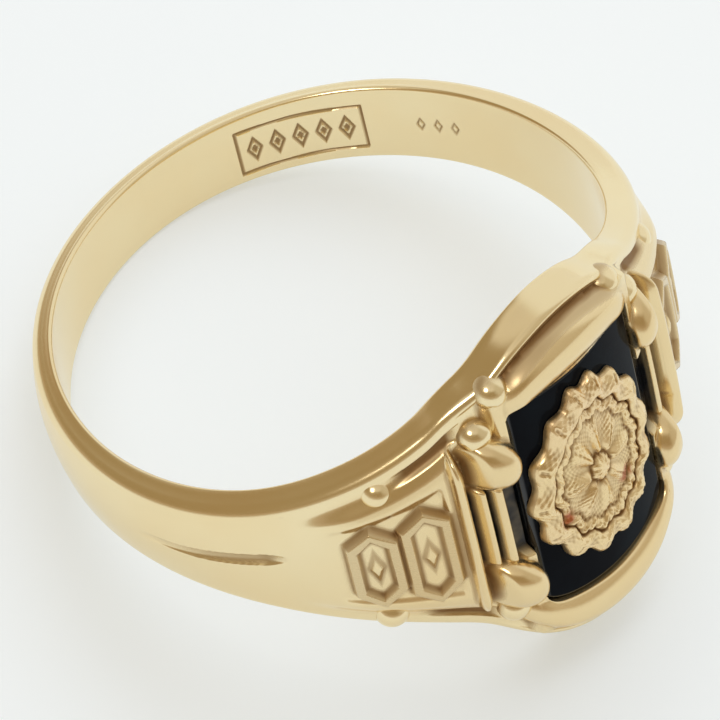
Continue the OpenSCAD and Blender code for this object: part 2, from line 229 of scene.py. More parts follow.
def table_curve(rows, angle):
    """A smooth curve through a two-column table, level at both ends: cubic Hermite pieces."""
    places, values = np.array(rows, float).T
    slopes = np.zeros(len(places))
    slopes[1:-1] = (values[2:] - values[:-2]) / (places[2:] - places[:-2])
    i = np.clip(np.searchsorted(places, angle, side="right") - 1, 0, len(places) - 2)
    step = places[i + 1] - places[i]
    k = (angle - places[i]) / step
    k2, k3 = k * k, k * k * k
    return (
        values[i] * (2 * k3 - 3 * k2 + 1)
        + values[i + 1] * (3 * k2 - 2 * k3)
        + step * slopes[i] * (k3 - 2 * k2 + k)
        + step * slopes[i + 1] * (k3 - k2)
    )


def steps(*stops):
    """Places from stop to stop: each stop is a place and how many steps lead up to it."""
    places = [np.array([stops[0][0]])]
    for (start, _), (end, count) in zip(stops, stops[1:]):
        places.append(np.linspace(start, end, count + 1)[1:])
    return np.concatenate(places)


# The casting: one surface for the band, shoulders and head. Angles are in degrees from the
# middle of the head, lengths in millimetres, and places across the band are shares of half
# its flat width

# Half the width of the ring at the finger hole: angle, half width
HALF_WIDTHS = [
    [0, 5.9], [10, 5.57], [20, 4.66], [30, 3.66], [45, 2.73],
    [65, 1.91], [90, 1.48], [130, 1.29], [180, 1.14],
]
SHANK_LEAN = 0.06
HEAD_LEAN = 0.12
HEAD_EDGE_R = 0.2
ROLL_POWER = 30
# Angles between which the head's form of each gives way to the band's
EDGE_FADE = [12, 34]
DROP_FADE = [15, 27]
ROLL_FADE = [14, 26]
HEAD_FADE = [22.5, 25.5]
THIN_FADE = [50, 140]
WORN_FADE = [36, 54]
# Six-sided frames on a shoulder: angle, how much shorter than the first, place along the finger
FRAMES = [[33.0, 0, -0.15], [42.4, 0.55, -0.08]]
FRAME_TIP = 0.55
LOZENGE = [1.1, 0.4]
LOZENGE_RISE = 0.12
# Soft steps up to a frame's floor, line and lozenge, as distances outside the outline of each
FLOOR_STEP = [-0.1, 0.06]
LINE_STEP = [-0.11, 0.06]
LOZENGE_STEP = [-0.16, 0.03]
# Beads on each side: angle, place along the finger, distance of the middle from the hole's axis
BEADS = [
    [39.4, 2.12, 8.1], [42.0, -2.35, 8.1], [20.3, 3.09, 8.35], [20.3, -3.43, 8.35], [15.3, 4.15, 8.3],
]
# Upright bars in the head's windows: place across the head, height
WINDOW_BARS = [[3.02, 0.45], [3.42, 0.38]]
WINDOW_BAR_HALF = 0.17
# The windows' painted black shade, across the head: its middle and how far it reaches to either side
WINDOW_DEPTH = [2.95, 0.7]
WINDOW_HALF = 1.35
WINDOW_SOFT = 0.3
# End bars: length of their round ends, width of their inner slope, how far out their middle
# line and their outer foot may be, and how softly each keeps to that
BAR_END = 0.8
BAR_INSIDE = 0.95
BAR_SHARE = 0.87
RIM_SHARE = 0.958
BAR_SOFT = [0.3, 0.1]
WALL_T = 0.35
# The valley beside the head's rims: its place and half its width
VALLEY = [0.955, 0.035]
FILLET = 0.07
LOBE_FILLET = 0.1
BAR_FILLET = 0.05
RIDGE_FILLET = 0.06
# The shoulder's sunk field, from angle to angle, and its border: inner edge, outer edge, softness
PANEL = [27, 50]
RAIL = [0.6, 0.82, 0.2]
RAIL_FALL = 0.3
FIELD_SOFT = 0.12
# The line inside the rim: its place, half its width and its depth, where it starts and ends
RIM_LINE = [0.885, 0.06, 0.13]
RIM_LINE_START = [22, 26]
RIM_LINE_END = [31, 38]
RIDGE_AT = 26
RIDGE_HALF = 1.3
RIDGE_END = [2.2, 0.8]
# How far the feet of the window bars and of the ridge lie under the surface
BAR_UNDER = 0.02
RIDGE_UNDER = 0.05
GROOVE = [58, 90]
GROOVE_UP = 0.28
# How brown the patina is in each place
STAIN = {"groove": 0.55, "valley": 0.6, "line": 0.75, "inside": 0.25, "lozenge": 0.5}
# Turns of the blur that a hollow is measured from, and the depth of a full one
HOLLOW = [26, 0.09]
# The gold is worn warm outside this place, reached smoothly
WORN_EDGE = [0.9, 0.96]


def fold(a):
    """Angle from the middle of the head, 0 to 180, on either side and past the back."""
    t = np.abs(a)
    return np.where(t > 180, 360 - t, t)


def along(fade, a):
    """1 at the head, 0 behind it, and smooth between the two angles of fade."""
    return 1 - ease(fade[0], fade[1], fold(a))


def millimetres(settings):
    """A settings group's lengths as plain numbers in millimetres, by name."""
    found = {}
    for key in settings.__annotations__:
        found[key] = getattr(settings, key) / MM
    return found


class Casting:
    """The ring's surface: heights over a plain band, as functions of the angle and of the
    share of the section's half width."""

    def __init__(self, scene):
        self.b = millimetres(scene.ring_band)
        self.h = millimetres(scene.ring_head)
        self.s = millimetres(scene.ring_stone)
        self.s["top_bow"] = scene.ring_stone.top_bow
        self.s["foot_bow"] = scene.ring_stone.foot_bow
        self.band_r = self.b["bore_r"] + self.b["band_t"]
        self.back_r = self.b["bore_r"] + self.b["back_t"]
        self.face_x = self.b["bore_r"] + self.h["face_rise"]

    def half_width(self, a):
        return table_curve(HALF_WIDTHS, fold(a))

    def outer_half(self, a):
        return self.half_width(a) - SHANK_LEAN - HEAD_LEAN * along(EDGE_FADE, a)

    def edge(self, a):
        return self.b["edge_r"] + (HEAD_EDGE_R - self.b["edge_r"]) * along(EDGE_FADE, a)

    def flat_half(self, a):
        return self.outer_half(a) - self.edge(a)

    def mid_z(self, a):
        return -self.h["drop"] * along(DROP_FADE, a)

    def face_radius(self, a, u):
        thinner = (self.back_r - self.band_r) * (1 - along(THIN_FADE, a))
        roll = self.h["rim_roll"] * along(ROLL_FADE, a) * u**ROLL_POWER
        return self.band_r + thinner - self.b["crown"] * u * u + roll

    def face_height(self, y):
        """The head's face: a low round curve across the finger."""
        return self.face_x - y * y / (2 * self.h["face_r"])

    def head_height(self, y, z, base, flat):
        """The highest of two end bars, four corner lobes, the pocket's walls and the windows'
        upright bars, each a rounded hump, with small fillets between them."""
        h = self.h
        face = self.face_height(y)
        reach = np.where(z > 0, h["bar_reach"], h["bar_reach_low"])
        past = np.maximum(0, (np.abs(y) - reach + BAR_END) / BAR_END)
        mid = -join(-h["bar_mid"], -BAR_SHARE * flat, BAR_SOFT[0])
        slope = -join(-h["bar_round"], mid - RIM_SHARE * flat, BAR_SOFT[1])
        inner = (mid - np.abs(z)) / BAR_INSIDE
        outer = (np.abs(z) - mid) / slope
        across = np.where(np.abs(z) > mid, outer, inner)
        bar = base + (face - base) * hump(np.hypot(past, across))
        lobe_d = np.hypot(
            (np.abs(y) - h["lobe_y"]) / h["lobe_half_y"], (np.abs(z) - h["lobe_z"]) / h["lobe_half_z"]
        )
        lobe = base + h["lobe_rise"] * hump(lobe_d)
        wall_mask = within(y, self.s["pocket_w"] / 2 + WALL_T, 0.2) * within(z, h["bar_mid"], 0.3)
        wall_mask = wall_mask * (1 - within(z, WINDOW_HALF, WINDOW_SOFT))
        wall = base + (face - h["wall_drop"] - base) * wall_mask
        rise = join(join(bar, lobe, LOBE_FILLET), wall, FILLET)
        window = within(z, WINDOW_HALF + 0.1, 0.25)
        for place, height in WINDOW_BARS:
            top = hump((np.abs(y) - place) / WINDOW_BAR_HALF)
            post = base + window * height * top - BAR_UNDER * (1 - window)
            rise = join(rise, post, BAR_FILLET)
        return join(base + 0 * rise, rise, FILLET)

    def shoulder_rise(self, a, u, z):
        """A raised border round a sunk field, and on the field two six-sided frames with a
        lozenge in each, as soft-edged steps."""
        b = self.b
        t = fold(a)
        start, end = PANEL
        inner, outer, soft = RAIL
        mask = ease(start - 2, start, t) * (1 - ease(end - 7, end + 10, t))
        border = within(u, outer, soft) * (1 - RAIL_FALL * ease(inner, outer, np.abs(u)))
        length_mask = ease(start + 1, start + 2.2, t) * (1 - ease(end - 1.5, end, t))
        field = within(u, inner, FIELD_SOFT) * length_mask
        rise = mask * (b["panel_rise"] * border - (b["panel_rise"] - b["field_rise"]) * field)
        for outline, line, lozenge, run in self.frames(t, z):
            flat = b["field_rise"] - run * run / (2 * self.band_r)
            inside = 1 - ease(*FLOOR_STEP, outline)
            on_line = 1 - ease(*LINE_STEP, line)
            rise = rise + (np.maximum(rise, flat + b["frame_floor"]) - rise) * inside
            rise = rise + (np.maximum(rise, flat + b["frame_rise"]) - rise) * on_line
            rise = rise + LOZENGE_RISE * (1 - ease(*LOZENGE_STEP, lozenge))
        return rise

    def frames(self, t, z):
        """For each frame on a shoulder: distances outside its outline, outside its line and
        outside its lozenge, and the distance round the band from its middle."""
        b = self.b
        line = b["frame_line"]
        for place, shorter, up in FRAMES:
            run = np.radians(t - place) * (self.band_r + b["field_rise"])
            long = b["frame_l"] - shorter
            wide = b["frame_w"]
            outer = six_sided(z - up, run, long, wide, FRAME_TIP)
            inner = six_sided(z - up, run, long - 2.4 * line, wide - 2 * line, FRAME_TIP - 0.6 * line)
            yield outer, np.maximum(outer, -inner), four_sided(z - up, run, *LOZENGE), run

    def stains(self, a, u, z):
        """Where brown patina has settled, 0 to 1: in the line inside the rim, the rear groove
        and the valley beside the head's rims, and along the frames' lines."""
        t = fold(a)
        valley = dome((np.abs(u) - VALLEY[0]) / VALLEY[1]) * (1 - ease(12, 19, t))
        stains = [
            within(np.abs(u) - RIM_LINE[0], 0.055, 0.05) * ease(23, 26, t) * (1 - ease(33, 38, t)),
            STAIN["groove"] * self.rear_groove(t, z),
            STAIN["valley"] * valley,
        ]
        for _, line, lozenge, _ in self.frames(t, z):
            stains.append(STAIN["line"] * (1 - ease(0, 0.12, np.abs(line))))
            stains.append(STAIN["inside"] * (1 - ease(-0.1, 0, line)))
            stains.append(STAIN["lozenge"] * (1 - ease(0.02, 0.1, np.abs(lozenge))))
        return np.maximum.reduce(stains)

    def soot(self, a, z, y):
        """Where the windows between the lobes get painted shade, 0 to 1: a near-black colour standing in
        for the shade in their depths, on all but the tops of their bars.
        """
        middle, half = WINDOW_DEPTH
        depth = within(np.abs(y) - middle, half, 0.15) * within(z, WINDOW_HALF, WINDOW_SOFT)
        top = 0 * y
        for place, _ in WINDOW_BARS:
            top = np.maximum(top, dome((np.abs(y) - place) / WINDOW_BAR_HALF))
        return depth * (1 - ease(0.45, 0.85, top)) * (fold(a) < HEAD_SEAM)

    def rim_line(self, t, u):
        """The line inside the rim, between the head's corner bead and the shoulder's."""
        place, half, _ = RIM_LINE
        length_mask = ease(*RIM_LINE_START, t) * (1 - ease(*RIM_LINE_END, t))
        return dome((np.abs(u) - place) / half) * length_mask

    def rear_groove(self, t, z):
        """The groove behind a shoulder, 0 to 1: round at its front end, running out behind."""
        start, end = GROOVE
        open_up = ease(start - 1, start + 4, t) * (1 - ease(start + 8, end, t))
        middle = GROOVE_UP * (1 - ease(start - 5, end - 8, t))
        return open_up * dome((z - middle) / (self.b["groove_half"] * (0.5 + 0.5 * open_up)))

    def rises(self, a, u, z):
        """Heights along the radius: shoulder, ridge, less the rim line and the rear groove."""
        b = self.b
        t = fold(a)
        past = np.maximum(0, np.abs(z) - RIDGE_END[0]) / RIDGE_END[1]
        ridge = b["ridge_rise"] * hump(np.hypot((t - RIDGE_AT) / RIDGE_HALF, past))
        ridge = np.maximum(ridge, -RIDGE_UNDER)
        groove = b["groove_depth"] * self.rear_groove(t, z)
        rim = RIM_LINE[2] * self.rim_line(t, u)
        return join(self.shoulder_rise(a, u, z), ridge, RIDGE_FILLET) - groove - rim

    def outer(self, a, u, inset):
        """The outer face: out along X on the head, out along the radius elsewhere."""
        z = u * self.flat_half(a)
        r = self.face_radius(a, u)
        turn = np.radians(a)
        base = r * np.cos(turn)
        y = r * np.sin(turn)
        head_share = along(HEAD_FADE, a)
        plain = base - self.h["rim_roll"] * u**ROLL_POWER * head_share
        head = self.head_height(y - self.h["shift"], z, plain, self.flat_half(a))
        head = (join(head, base, FILLET) - base) * head_share
        rise = self.rises(a, u, z) - inset
        x = base + head + rise * np.cos(turn)
        y = (r + rise) * np.sin(turn)
        return np.stack([x, y, z + self.mid_z(a)], -1)

    def pocket_ends(self, y, clear):
        """The pocket's two ends as distances along the finger: low arcs with round corners."""
        s = self.s
        half = s["pocket_w"] / 2 - clear
        part = np.clip(np.abs(y) / half, 0, 1)
        cut = s["pocket_r"] * (1 - np.sqrt(1 - part**8))
        fall = np.minimum(np.abs(y), half) ** 2
        foot = s["pocket_foot"] - clear - cut - s["foot_bow"] * fall
        return -foot, s["pocket_top"] - clear - cut + s["top_bow"] * fall


def six_sided(z, run, long, wide, tip):
    """Distance outside a six-sided outline with two points: the furthest of its sides."""
    side = np.abs(run) - wide / 2
    slant = ((np.abs(z) - long / 2) * wide / 2 + np.abs(run) * tip) / math.hypot(wide / 2, tip)
    return np.maximum(side, slant)


def four_sided(z, run, long, wide):
    """Distance outside a lozenge: a six-sided outline whose sides are hardly any length."""
    return six_sided(z, run, long, wide, long / 2 - 0.01)


def hollows(height, turns, depth):
    """How far each place lies under its surroundings, as a share of a depth."""
    return np.clip((smooth(height, turns) - height) / depth, -1, 1.5)


# Meshes. A piece's UV map runs from 0 to 1 over this many millimetres

UV_SPAN = 10


def grid_faces(rows, columns, wrap_columns):
    """Four-cornered faces between the neighbours of a grid, whose columns may close a loop."""
    across = columns if wrap_columns else columns - 1
    i, j = np.meshgrid(np.arange(rows - 1), np.arange(across), indexing="ij")
    k = (j + 1) % columns
    return np.stack([i * columns + j, i * columns + k, (i + 1) * columns + k, (i + 1) * columns + j], -1)


def end_caps(rows, columns):
    """The first and the last row of a closed grid, each as one face that looks outward."""
    return [np.arange(columns), (rows - 1) * columns + np.arange(columns)[::-1]]


def add_piece(name, points, quads, caps, attributes, finish, uv=None, sharp=60):
    """A mesh object from laid-down points, faces and end caps, with its attributes and its
    finish: material, and the replaced node, whose part it hides; the slot given with them is not used.
    Edges over the sharp angle stay sharp."""
    material, node, slot = finish
    uv = points[..., 1:] if uv is None else uv
    uv = np.ascontiguousarray(uv.reshape(-1, 2) / UV_SPAN, np.float32)
    mesh = bpy.data.meshes.new(name)
    faces = quads.reshape(-1, 4).tolist() + [list(cap) for cap in caps]
    mesh.from_pydata(lay_down(points.reshape(-1, 3)).tolist(), [], faces)
    for key, values in attributes.items():
        layer = mesh.attributes.new(key, "FLOAT", "POINT")
        layer.data.foreach_set("value", np.ascontiguousarray(values.reshape(-1), np.float32))
    corner = np.zeros(len(mesh.loops), np.int32)
    mesh.loops.foreach_get("vertex_index", corner)
    layer = mesh.uv_layers.new(name="surface")
    layer.data.foreach_set("uv", uv[corner].ravel())
    mesh.polygons.foreach_set("use_smooth", np.ones(len(mesh.polygons), bool))
    mesh.update()
    mesh.set_sharp_from_angle(angle=math.radians(sharp))
    piece = bpy.data.objects.new(name, mesh)
    bpy.context.scene.collection.objects.link(piece)
    mesh.materials.append(material)
    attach(piece, "root")
    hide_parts(node)
    if mesh.validate():
        raise RuntimeError(f"{name} has broken faces")
    return piece


# Where one part of the casting ends and the next begins: each sinks a little past the seam

HEAD_SEAM = 24.9
BACK_SEAM = 56.5
OVERLAP = 0.6
SINK = 0.012
# The engraved frame in the hole: first and last angle, lower and upper edge. Its lozenges: how
# many, their length and width, and the same of the eye in each
ENGRAVED_FRAME = [126, 153.5, -0.9, 0.71]
ENGRAVED_COUNT = 5
ENGRAVED_LOZENGE = [0.84, 0.42]
ENGRAVED_EYE = [0.2, 0.12]
# The small punched lozenges beside it: first and last angle, how many, length and width
PUNCHES = [104.5, 116, 3]
PUNCH = [0.52, 0.26]
# The head's columns are straight across the stone, and bend to angles between these places
STRAIGHT_FADE = [2.7, 3.3]


def sink(a, low, high):
    """How far a part lies under the true surface past its seams: 0 inside them, then a square."""
    past = np.maximum(0, np.maximum(low - a, a - high)) / OVERLAP
    return SINK * np.minimum(past, 1) ** 2


def row_cells(run, count, pitch):
    """For a row of equal cells: the distance from the nearest cell's middle, along the row, and
    whether a place is in the row."""
    cell = (run / pitch + count / 2) % 1 - 0.5
    return cell * pitch, np.abs(run) < pitch * count / 2


def arc_run(a, start, end):
    """Distance along the hole's wall from the middle of an arc, and half the arc's length."""
    return np.radians(a - (start + end) / 2) * HOLE_R, np.radians(end - start) / 2 * HOLE_R


def engraving(a, z):
    """1 in the engraved lines of the finger hole: a four-sided frame with a row of lozenges,
    and a row of small punched lozenges beside it. Distances are in millimetres."""
    start, end, low, high = ENGRAVED_FRAME
    run, half_run = arc_run(a, start, end)
    mid, half = (low + high) / 2, (high - low) / 2
    box = np.maximum(np.abs(run) - half_run, np.abs(z - mid) - half)
    lines = 1 - ease(0.02, 0.055, np.abs(box + 0.045))
    cell, inside = row_cells(run, ENGRAVED_COUNT, 2 * half_run / (ENGRAVED_COUNT + 0.6))
    outline = four_sided(z - mid, cell, *ENGRAVED_LOZENGE)
    lozenges = inside * (1 - ease(0.02, 0.06, np.abs(outline + 0.02)))
    eyes = inside * (1 - ease(0.0, 0.05, four_sided(z - mid, cell, *ENGRAVED_EYE)))
    start, end, count = PUNCHES
    run, half_run = arc_run(a, start, end)
    cell, inside = row_cells(run, count, 2 * half_run / count)
    punches = inside * (1 - ease(-0.01, 0.05, np.abs(four_sided(z, cell, *PUNCH) + 0.03)))
    return np.maximum.reduce([lines, lozenges, eyes, punches])


def ring_of(angle, radius, z):
    """Points at an angle and a distance round the hole's axis, and at a height along it."""
    turn = np.radians(angle)
    return np.stack([radius * np.cos(turn), radius * np.sin(turn), z], -1)


# Steps of the quarter-round edge and of the hole's rounded rim, and places down the side
EDGE_STEPS = np.radians(np.linspace(90 / 8, 90, 8))
RIM_STEPS = np.radians(np.linspace(0, 90, 6))
SIDE_PLACES = np.array([0.3, 0.65])


def flank(c, a, inset, side):
    """One flank of the sections at their own angles, from the outer face to the hole's wall: a
    quarter-round edge, a straight leaning side, and a quarter-round rim."""
    bore_r, rim_r = c.b["bore_r"], c.b["rim_r"]
    e = c.edge(a)
    mid = c.mid_z(a)
    r_edge = c.face_radius(a, 1.0) - inset - e
    z_round = c.flat_half(a) - inset + e * np.sin(EDGE_STEPS)
    edge = ring_of(a + 0 * EDGE_STEPS, r_edge + e * np.cos(EDGE_STEPS), side * z_round + mid)
    lean = c.half_width(a) - c.outer_half(a)
    down = r_edge + (bore_r + rim_r - r_edge) * SIDE_PLACES
    z_side = c.outer_half(a) + lean * (r_edge - down) / (r_edge - bore_r) - inset
    flat = ring_of(a + 0 * SIDE_PLACES, down, side * z_side + mid)
    z_rim = c.half_width(a) - inset - rim_r * (1 - np.cos(RIM_STEPS))
    r_rim = bore_r + rim_r * (1 - np.sin(RIM_STEPS)) + inset
    rim = ring_of(a + 0 * RIM_STEPS, r_rim, side * z_rim + mid)
    return np.concatenate([edge, flat, rim], 1)


def straight_columns(c, a, u_nodes):
    """The head's angles, bent so that its columns are straight lines along the finger near the
    stone: the angle whose sine is the place across over the radius there."""
    place = c.band_r * np.sin(np.radians(a))
    straight = 1 - ease(*STRAIGHT_FADE, np.abs(place))
    sine = place / (c.band_r - c.b["crown"] * u_nodes**2)
    return a * (1 - straight) + np.degrees(np.arcsin(np.clip(sine, -1, 1))) * straight


def casting_part(c, name, angles, seams, u_nodes, inner_count, material):
    """One part of the casting as closed loops carried round the hole. Each loop is the outer
    face, a flank, the hole's wall, and the other flank back again. The head's part has the
    stone's pocket in it."""
    a0 = angles[:, None]
    inset = sink(a0, *seams)
    is_head = name == "gold_head"
    a = straight_columns(c, a0, u_nodes) if is_head else a0 + 0 * u_nodes
    u = u_shares(c, a, u_nodes) if is_head else u_nodes + 0 * a
    z = u * c.flat_half(a)
    top = c.outer(a, u, inset)
    radius = np.hypot(top[..., 0], top[..., 1])
    recess = smooth(hollows(radius, *HOLLOW), 4)
    marks = c.stains(a, u, z)
    worn = (1 - ease(*WORN_EDGE, np.abs(u))) * along(WORN_FADE, a)
    # Painted shade: near-black colour for the depths of the head's windows
    black = c.soot(a, z, top[..., 1] - c.h["shift"])
    if is_head:
        top = cut_pocket(c, top)
    a_up, a_down = a[:, -1:], a[:, :1]
    up = flank(c, a_up, inset, 1)
    down = flank(c, a_down, inset, -1)
    across = np.linspace(1, 0, inner_count + 2)[1:-1]
    wall_z = down[:, -1:, 2] + (up[:, -1:, 2] - down[:, -1:, 2]) * across
    wall_a = a_down + (a_up - a_down) * across
    cut = engraving(wall_a % 360, wall_z)
    wall = ring_of(wall_a, c.b["bore_r"] + inset + c.b["engraving"] * cut, wall_z)
    loop = np.concatenate([top, up, wall, down[:, ::-1]], 1)
    sides = 0 * up[..., 0]
    layers = {}
    for key, on_top in (("recess", recess), ("mark", marks), ("worn", worn), ("black", black)):
        on_wall = cut if key == "mark" else 0 * cut
        layers[key] = np.concatenate([on_top, sides, on_wall, sides], 1)
    n, m = loop.shape[:2]
    arc = np.radians(a0) * HOLE_R + 0 * loop[..., 0]
    girth = np.cumsum(np.linalg.norm(np.diff(loop, axis=1, prepend=loop[:, :1]), axis=2), 1)
    uv = np.stack([arc, girth], -1)
    finish = [material, "ring_body", "gold"]
    add_piece(name, loop, grid_faces(n, m, True), end_caps(n, m), layers, finish, uv, 50)


# Rows of the head: from rim to pocket end, across the pocket, and from its other end to the rim

HEAD_OUTER_ROWS = 46
HEAD_INNER_ROWS = 240
POCKET_GAP = 0.012
POCKET_EDGE = 0.004


def u_shares(c, a, nodes):
    """The head's rows as shares of the half width, bent so that one row on each side of the
    head follows an end of the stone's pocket."""
    flat = c.flat_half(a)
    y = c.face_radius(a, 0.8) * np.sin(np.radians(a)) - c.h["shift"]
    foot, top = c.pocket_ends(y, 0)
    half = c.s["pocket_w"] / 2
    corner_flat = c.flat_half(np.degrees(np.arcsin(half / c.band_r)))
    fade = np.where(np.abs(y) > half, np.minimum(flat / corner_flat, 1), 1)
    foot, top = foot * fade, top * fade
    i = np.arange(len(nodes))
    k1 = np.clip(i / HEAD_OUTER_ROWS, 0, 1)
    k2 = np.clip((i - HEAD_OUTER_ROWS - 1) / (HEAD_INNER_ROWS - 1), 0, 1)
    start = HEAD_OUTER_ROWS + HEAD_INNER_ROWS + 1
    k3 = np.clip((i - start) / HEAD_OUTER_ROWS, 0, 1)
    z1 = -flat + (foot + flat) * k1
    z2 = foot + POCKET_GAP + (top - foot - 2 * POCKET_GAP) * k2
    z3 = top + (flat - top) * k3
    z = np.where(i <= HEAD_OUTER_ROWS, z1, np.where(i < start, z2, z3))
    return z / flat


def cut_pocket(c, top):
    """Lowers everything inside the pocket's outline to its seat, and rounds its lip."""
    y = top[..., 1] - c.h["shift"]
    z = top[..., 2] + c.h["drop"]
    foot, head = c.pocket_ends(y, 0)
    half = c.s["pocket_w"] / 2
    rows = np.arange(top.shape[1])
    between = (rows > HEAD_OUTER_ROWS) & (rows <= HEAD_OUTER_ROWS + HEAD_INNER_ROWS)
    inside = (np.abs(y) < half - POCKET_EDGE) & between
    away = np.maximum(np.abs(y) - half, np.maximum(foot - z, z - head))
    lip = c.h["lip"]
    near = np.clip(1 - away / lip, 0, 1)
    round_off = lip * (1 - np.sqrt(np.maximum(0, 1 - near**2)))
    x = top[..., 0] - np.minimum(round_off, lip)
    x = np.where(inside, c.b["bore_r"] + c.s["seat_rise"], x)
    return np.stack([x, top[..., 1], top[..., 2]], -1)


# Finishes


class Value:
    """A number that varies over a surface: arithmetic on it adds Math nodes."""

    def __init__(self, tree, socket):
        self.tree = tree
        self.socket = socket

    def math(self, operation, *others):
        values = dict(enumerate([self, *others]))
        return self.tree.node("ShaderNodeMath", {"operation": operation}, values)

    def __add__(self, other):
        return self.math("ADD", other)

    def __sub__(self, other):
        return self.math("SUBTRACT", other)

    def __rsub__(self, other):
        return (self * -1) + other

    def __mul__(self, other):
        return self.math("MULTIPLY", other)

    __radd__ = __add__
    __rmul__ = __mul__

    def clamp(self):
        settings = {"operation": "MULTIPLY", "use_clamp": True}
        return self.tree.node("ShaderNodeMath", settings, {0: self, 1: 1.0})

    def between(self, low, high):
        """0 below low, 1 above high, and straight between."""
        return ((self - low) * (1 / (high - low))).clamp()


class Nodes:
    """A node tree and the one method that makes its nodes."""

    def __init__(self, owner):
        owner.use_nodes = True
        self.tree = owner.node_tree
        self.tree.nodes.clear()

    def plug(self, node, key, value):
        if isinstance(value, Value):
            self.tree.links.new(value.socket, node.inputs[key])
        elif isinstance(value, tuple) and len(value) == 3 and len(node.inputs[key].default_value) == 4:
            node.inputs[key].default_value = (*value, 1)
        else:
            node.inputs[key].default_value = value

    def node(self, kind, settings, sockets, output=0):
        """Makes a node: its settings first, then the values or links of its sockets."""
        node = self.tree.nodes.new(kind)
        for key, value in settings.items():
            if key == "stops":
                self.set_stops(node.color_ramp, value)
            else:
                setattr(node, key, value)
        for key, value in sockets.items():
            self.plug(node, key, value)
        return Value(self, node.outputs[output]) if node.outputs else node

    def set_stops(self, ramp, stops):
        ramp.interpolation = "EASE"
        while len(ramp.elements) < len(stops):
            ramp.elements.new(0.5)
        for element, (place, tint) in zip(ramp.elements, stops):
            element.position = place
            element.color = (*tint, 1)

    def mix(self, factor, first, second):
        settings = {"data_type": "RGBA"}
        return self.node("ShaderNodeMix", settings, {0: factor, 6: first, 7: second}, 2)


class Finish(Nodes):
    """A procedural material round one shader."""

    def __init__(self, name):
        self.material = bpy.data.materials.new(name)
        super().__init__(self.material)
        surface = self.node("ShaderNodeBsdfPrincipled", {}, {})
        self.shader = surface.socket.node
        self.node("ShaderNodeOutputMaterial", {}, {0: surface})

    def set(self, **sockets):
        for key, value in sockets.items():
            self.plug(self.shader, key.replace("_", " "), value)

    def noise(self, place, scale, detail=2.0, rough=0.5):
        sockets = {"Vector": place, "Scale": scale, "Detail": detail, "Roughness": rough}
        return self.node("ShaderNodeTexNoise", {}, sockets)

    def object_place(self):
        return self.node("ShaderNodeTexCoord", {}, {}, 3)

    def surface_place(self, stretch):
        """The piece's own UV map, stretched: first along the band, then across it."""
        place = self.node("ShaderNodeUVMap", {"uv_map": "surface"}, {})
        return self.node("ShaderNodeMapping", {}, {"Vector": place, "Scale": stretch})

    def attribute(self, name):
        return self.node("ShaderNodeAttribute", {"attribute_name": name}, {}, 2)

    def bump(self, height, strength, distance):
        sockets = {"Height": height, "Strength": strength, "Distance": distance}
        return self.node("ShaderNodeBump", {}, sockets)


def polished_gold(name, look):
    """Polished gold: slow waves of the polishing wheel, fine scratches along the band, warmer
    clouds of colour, brown patina in the recesses and the lines, painted shade at the beads' feet, and
    painted black shade in the windows."""
    f = Finish(name)
    place = f.object_place()
    recess = f.attribute("recess")
    mark = f.attribute("mark")
    worn = f.attribute("worn")
    clouds = f.noise(place, 260.0, 3.0)
    grime = f.noise(place, 1500.0)
    scratches = f.noise(f.surface_place((9.0, 260.0, 1.0)), 2.0, 4.0, 0.7)
    darkening = (recess * (0.8 + 0.4 * grime)).between(0.15, 1.3)
    # Brown patina in the hollows and marked lines; the mark also carries painted shade at the beads'
    # feet
    darkening = (darkening + mark * 0.85 + worn * 0.05).clamp()
    # Painted shade: the windows' depths are coloured near black and lose their metal
    black = (f.attribute("black") * (0.7 + 0.5 * grime)).clamp()
    warmth = (clouds.between(0.35, 0.75) * 0.6 + worn * 0.5).clamp()
    base = f.mix(warmth, tuple(look.gold), tuple(look.warm_gold))
    colour = f.mix(darkening, base, tuple(look.patina))
    colour = f.mix(black, colour, tuple(look.soot))
    rough = look.polish + clouds.between(0.3, 0.8) * 0.05 + scratches.between(0.4, 0.9) * 0.07
    rough = rough + darkening * 0.3
    waves = f.noise(place, 420.0)
    height = waves * 0.5 + scratches * 0.035 + grime * darkening * 0.3
    metal = (1 - darkening * 0.6) * (1 - black)
    f.set(Base_Color=colour, Roughness=rough, Metallic=metal, Normal=f.bump(height, 0.35, 0.00003))
    f.set(Specular_IOR_Level=0.2)
    return f.material


def medallion_gold(name, look):
    """The medallion's gold: duller and browner, with reddish tarnish spots and deep patina."""
    f = Finish(name)
    place = f.object_place()
    recess = f.attribute("recess")
    clouds = f.noise(place, 520.0, 4.0, 0.6)
    grain = f.noise(place, 5200.0, 3.0, 0.6)
    spots = (f.attribute("tarnish") * (0.5 + clouds)).clamp()
    darkening = (recess * (0.6 + 0.8 * clouds)).between(-0.05, 0.8)
    base = f.mix(clouds.between(0.35, 0.65), tuple(look.worn), tuple(look.warm_gold))
    base = f.mix(spots * 0.9, base, tuple(look.tarnish))
    colour = f.mix(darkening, base, tuple(look.patina))
    rough = 0.24 + darkening * 0.3 + grain.between(0.3, 0.8) * 0.1
    height = grain * 0.5 + clouds * 0.5
    f.set(Base_Color=colour, Roughness=rough, Metallic=1.0, Normal=f.bump(height, 0.4, 0.00003))
    return f.material


def black_stone_finish(name, look):
    """Black stone with a high polish: faint blue clouds inside, and the least unevenness."""
    f = Finish(name)
    place = f.object_place()
    clouds = f.noise(place, 300.0, 4.0, 0.6)
    grain = f.noise(place, 3500.0, 3.0, 0.6)
    colour = f.mix(clouds.between(0.45, 0.8), tuple(look.onyx), tuple(look.onyx_sheen))
    rough = 0.04 + grain.between(0.4, 0.9) * 0.06
    f.set(Base_Color=colour, Roughness=rough, Normal=f.bump(clouds, 0.15, 0.00003))
    f.set(IOR=1.54, Specular_IOR_Level=0.02, Coat_Weight=f.attribute("edge").between(0.1, 0.5))
    return f.material


